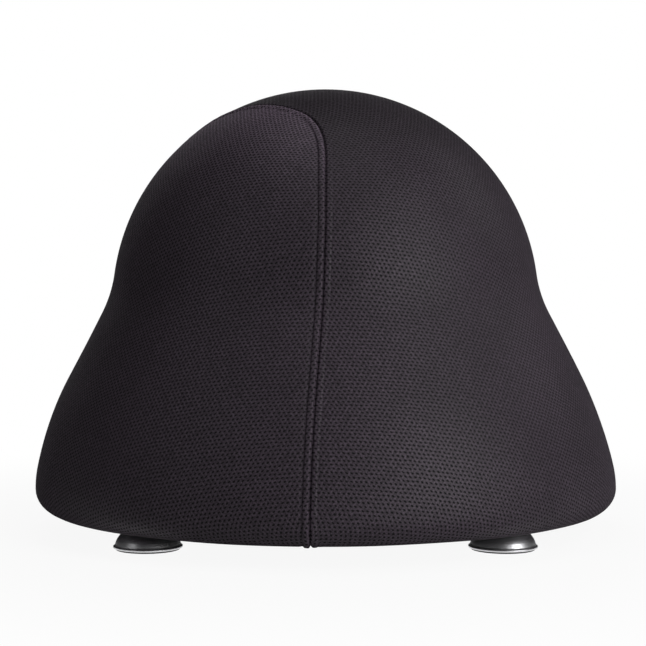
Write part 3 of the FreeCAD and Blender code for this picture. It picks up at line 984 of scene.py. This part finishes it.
def plate_with_window(outer, inner, thick):
    """Flat plate round a window: front, window's edge, back, outer edge."""
    x, z = superellipse(48, 0.45)
    bevel, half = 0.3, thick / 2
    grid = []
    for (left, right, low, high), grow, depth in (
            (outer, -bevel, -half), (inner, bevel, -half), (inner, 0.0, bevel - half),
            (inner, 0.0, half - bevel), (inner, bevel, half), (outer, -bevel, half),
            (outer, 0.0, half - bevel), (outer, 0.0, bevel - half)):
        grid.append(stacked((left + right) / 2 + ((right - left) / 2 + grow) * x, depth,
                            (low + high) / 2 + ((high - low) / 2 + grow) * z))
    return at_slider(np.stack(grid)), True, True


def bridge():
    """Bar that leaves the plate, passes under the pin and returns."""
    path = rounded([(0.0, -2.5, 17.2), (0.0, -2.5, 13.5), (0.0, 2.5, 13.5), (0.0, 2.5, 17.2)], 1.6, 8)
    grid, whole, closed = bar(path, 0.55, 12)
    grid[..., 0] *= 2.4
    return at_slider(grid), whole, closed


piece("zip_slider_cast", [slab(10.0, 13.0, 0.28, 16.85, 18.05, 0.35), bridge()], ZIP_METAL, "zip_slider",
      "zip_slider")
pin = bar(stacked(np.linspace(-PIN_HALF, PIN_HALF, 7), 0.0, PIN_HEIGHT), PIN_RADIUS, 14)
piece("zip_pull_plate", [plate_with_window((-4.0, 4.0, 6.15, 15.6), (-3.0, 3.0, 10.9, 14.3), 1.4),
                         (at_slider(pin[0]), *pin[1:])], ZIP_METAL, "zip_pull", "zip_pull")

# %% [markdown]
# ## Inside
# Nothing below is seen from outside: the ball, its valve, the welded frame and the foam. The
# frame gets a powder coat, and the foam its open cells.

# %% Finishes of the inside
BALL_RADIUS, VALVE_TILT = 0.2075, math.radians(215.0)


def foam_finish():
    finish = Finish("foam")
    pores = finish.node("ShaderNodeTexVoronoi", {"Vector": finish.place(), "Scale": 900.0})
    tone = finish.between(finish.noise(18.0, 4.0), 0.3, 0.7)
    greys = {0: tone, 6: (0.075, 0.078, 0.082, 1.0), 7: (0.11, 0.112, 0.118, 1.0)}
    colour = finish.node("ShaderNodeMix", greys, 2, data_type="RGBA")
    rough = finish.between(pores, 0.0, 0.6, 1.0, 0.85)
    return finish.done(colour, None, rough, pores, 0.6, Specular_IOR_Level=0.1)


FOAM = foam_finish()
BALL_VINYL = plastic("ball_vinyl", (0.155, 0.165, 0.18), 0.42, 700.0, 0.12)
VALVE_PLASTIC = plastic("valve_plastic", (0.62, 0.62, 0.60), 0.4, 1100.0, 0.05)
FRAME_COAT = plastic("frame_coat", (0.016, 0.016, 0.017), 0.38, 1900.0, 0.10)
print(FOAM.name, BALL_VINYL.name, VALVE_PLASTIC.name, FRAME_COAT.name)


# %% Ball with its valve and plug
def at_valve(grid):
    """Turns a shape about the up axis to the valve's axis, low at the ball's back."""
    points, whole, closed = grid
    x, y, z = np.moveaxis(points, -1, 0)
    y, z = rotated(y, z, VALVE_TILT)
    return stacked(x, y, z + BALL_HEIGHT), whole, closed


def ball_grid():
    """Sphere in rings about the valve's boss, with shallow ribs and a flat where it rests."""
    boss = MM * rounded([(8.05, 196.5), (8.05, 209.0), (12.0, 209.0), (13.6, 206.9)], [0.4, 0.8])
    polar = np.linspace(14.5 * MM / BALL_RADIUS, math.pi, 200)
    degrees = np.degrees(polar)
    rib = np.exp(-((np.mod(degrees, 7.5) - 3.75) / 0.5) ** 2) * (degrees > 12) * (degrees < 120)
    sphere = (BALL_RADIUS + 0.3 * MM * rib)[:, None] * direction(polar)[:, ::-1]
    points, whole, closed = at_valve(lathe(np.vstack([boss, sphere]), 144))
    points[..., 2] = np.maximum(points[..., 2], 21.3 * MM)
    return points, whole, closed


thicken(piece("ball_moulded", [ball_grid()], BALL_VINYL, "ball", facing=outwards), 2.4 * MM)
VALVE = MM * rounded([(0.0, 196.0), (8.0, 196.0), (8.0, 209.0), (11.0, 209.0), (11.0, 210.5), (3.55, 210.5),
    (3.55, 198.2), (0.0, 198.2)], [0.5, 0.2, 0.3, 0.5, 0.3, 0.3])
PLUG = MM * rounded([(0.0, 198.5), (3.5, 198.5), (3.5, 210.5), (6.5, 210.5), (6.5, 212.3), (2.0, 212.3),
    (1.6, 211.7), (0.0, 211.7)], [0.8, 0.2, 0.3, 0.6, 0.3, 0.3])
piece("ball_valve_moulded", [at_valve(lathe(VALVE, 48))], VALVE_PLASTIC, "ball_valve")
piece("ball_plug_moulded", [at_valve(lathe(PLUG, 48))], VALVE_PLASTIC, "ball_plug", "plug")

# %% Welded frame
CRADLE_RADIUS, CRADLE_HEIGHT = 0.165, 0.07503
BAR_RADIUS, LEG_RADIUS, BEAD_AT, BEAD_RADIUS = 6.0 * MM, 7.0 * MM, 6.4 * MM, 6.6 * MM

for name, radius, height in (("base", RING_RADIUS, WIDEST), ("cradle", CRADLE_RADIUS, CRADLE_HEIGHT)):
    ring = bar(upright(radius, circle(240), height), BAR_RADIUS, 20, closed=True)
    piece(name + "_ring_bar", [ring], FRAME_COAT, name + "_ring")


def weld(middle, axis):
    """Ripples of a weld bead laid round a bar."""
    guide = unit(np.cross(axis, [0.0, 0.0, 1.0]))
    path = tube(middle, guide, np.cross(axis, guide), BEAD_RADIUS, 72)
    return bar(path, MM * (1.7 + 0.25 * np.sin(24 * circle(72))), 10, closed=True)


for name, angle in FEET.items():
    inner = upright(CRADLE_RADIUS, angle, CRADLE_HEIGHT)
    outer = upright(RING_RADIUS, angle, WIDEST)
    length = np.linalg.norm(outer - inner)
    axis = (outer - inner) / length
    leg = bar(inner + np.linspace(4.0 * MM, length - 4.0 * MM, 12)[:, None] * axis, LEG_RADIUS, 24)
    beads = [weld(inner + BEAD_AT * axis, axis), weld(outer - BEAD_AT * axis, axis)]
    piece("leg_" + name + "_bar", [leg, *beads], FRAME_COAT, "leg_" + name)


# %% Foam
SLEEVE_HALF, SLEEVE_BORE = math.radians(40.8), 6.3 * MM
PIPES = {"rim": (RING_RADIUS, WIDEST, 17.6 * MM, math.pi),
    "cradle": (CRADLE_RADIUS, CRADLE_HEIGHT, 11.9 * MM, 1.5 * math.pi)}


def foam_pipe(radius, height, outer, slit, middle):
    """Slit pipe of foam on a ring: the outer skin, then the inner skin back."""
    skin = direction(slit + np.linspace(0.03, TURN - 0.03, 40))
    section = np.vstack([outer * skin, SLEEVE_BORE * skin[::-1]]) + (radius, height)
    grid = upright(section[:, :1], middle + np.linspace(-SLEEVE_HALF, SLEEVE_HALF, 64), section[:, 1:])
    ends = [(np.stack([grid[:40, k], grid[40:, k][::-1]]), False, False) for k in (0, -1)]
    return [(grid, False, True), *ends]


for turns, name in enumerate(("right", "back", "left", "front")):
    for kind, pipe in PIPES.items():
        node = kind + "_sleeve_" + name
        piece(node + "_foam", foam_pipe(*pipe, turns * math.pi / 2), FOAM, node)


def skirt_profile():
    """Outside 3.8 mm under the cover's outline; inside 28 mm deeper, but clear of the ball."""
    z = np.linspace(58.6, 225.9, 60) * MM
    upper = LENGTH > WIDE_AT

    def inset(depth):
        shifted = OUTLINE[upper] - depth * MM * OUTWARD[upper]
        return np.interp(z, shifted[:, 1], shifted[:, 0])

    outside = inset(3.8)
    ball_room = np.sqrt(np.maximum(0.0, (BALL_RADIUS + 0.3 * MM) ** 2 - (z - BALL_HEIGHT) ** 2))
    inside = np.minimum(np.maximum(inset(31.8), ball_room), outside - 1.5 * MM)
    return np.vstack([stacked(outside, z), stacked(inside, z)[::-1]])


skirt = piece("foam_skirt_moulded", [lathe(skirt_profile(), 160, closed=True)], FOAM, "foam_skirt")

# %% Finish on the solids that stay
for name, made in frame["nodes"].items():
    if name.startswith("foot_boss"):
        made.data.materials.clear()
        made.data.materials.append(FRAME_COAT)
        print(name, "keeps its CAD form")


# %% [markdown]
# ## Floor and light
# A white floor, eight soft lamps and a weak even light from all round. Three lamps stand above
# each other at the front right, for the broad highlight that the photograph shows on that half of
# the cover. The floor glows for the camera, and for reflections only close to a foot.

# %% Stage
EVEN_LIGHT = 0.030
LAMPS = {  # place, width, height and power
    "main": ((1.06, -1.27, 1.49), 1.0, 0.6, 7.6),
    "middle": ((1.40, -1.40, 0.92), 0.9, 0.5, 7.0),
    "low": ((1.48, -1.48, 0.38), 1.2, 0.35, 11.1),
    "top": ((0.0, -0.07, 2.30), 1.3, 0.7, 6.6),
    "back_right": ((1.38, 1.16, 1.25), 1.3, 0.8, 3.7),
    "back": ((-0.45, 1.95, 1.10), 1.4, 0.7, 14.0),
    "left": ((-1.32, -1.11, 1.40), 1.2, 0.5, 2.0),
    "low_left": ((-1.50, -1.15, 0.80), 0.8, 0.5, 0.9),
}


def stage():
    finish = Finish("floor_white")
    finish.set(Base_Color=(0.85, 0.85, 0.85, 1.0), Roughness=0.9, Specular_IOR_Level=0.0)
    near_foot = finish.between(about_foot(finish)[0], 0.05, 0.09, 1.0, 0.0)
    reflected = finish.node("ShaderNodeLightPath", output="Is Glossy Ray") * near_foot
    seen = finish.node("ShaderNodeLightPath", output="Is Camera Ray").maths("MAXIMUM", reflected)
    x, y, _ = finish.parts(finish.place())
    share = finish.between((x * x + y * y).maths("SQRT"), 0.25, 0.85, 0.92, 1.0)
    glow = finish.node("ShaderNodeEmission", {"Color": (1.0, 1.0, 1.0, 1.0), "Strength": 1.0})
    matt = Value(finish, finish.shader.outputs[0])
    mixed = finish.node("ShaderNodeMixShader", [seen * share, matt, glow])
    finish.feed(finish.tree.nodes["Material Output"].inputs[0], mixed)
    mesh = bpy.data.meshes.new("floor")
    corners = [(x, y, -0.3 * MM) for x, y in ((-9, -9), (9, -9), (9, 9), (-9, 9))]
    mesh.from_pydata(corners, [], [(0, 1, 2, 3)])
    floor = put("floor", mesh)
    floor.data.materials.append(finish.material)


def lamp(name, place, width, height, power):
    data = bpy.data.lights.new(name, "AREA")
    data.shape, data.size, data.size_y, data.energy = "RECTANGLE", width, height, power
    made = put(name, data)
    made.location = place
    x, y, z = np.array([0.0, 0.0, 0.2]) - place
    made.rotation_euler = (math.atan2(math.hypot(x, y), -z), 0.0, math.atan2(x, -y) + math.pi)


def world():
    """Even light from all round; the camera alone sees it as white."""
    made = bpy.data.worlds.new("studio")
    made.use_nodes = True
    bpy.context.scene.world = made
    tree = made.node_tree
    path = tree.nodes.new("ShaderNodeLightPath")
    level = tree.nodes.new("ShaderNodeMapRange")
    level.inputs["To Min"].default_value = EVEN_LIGHT
    tree.links.new(path.outputs["Is Camera Ray"], level.inputs["Value"])
    light = tree.nodes["Background"].inputs
    light["Color"].default_value = (1.0, 1.0, 1.0, 1.0)
    tree.links.new(level.outputs[0], light["Strength"])


stage()
world()
for name, settings in LAMPS.items():
    lamp(name + "_lamp", *settings)
print(len(LAMPS), "lamps")
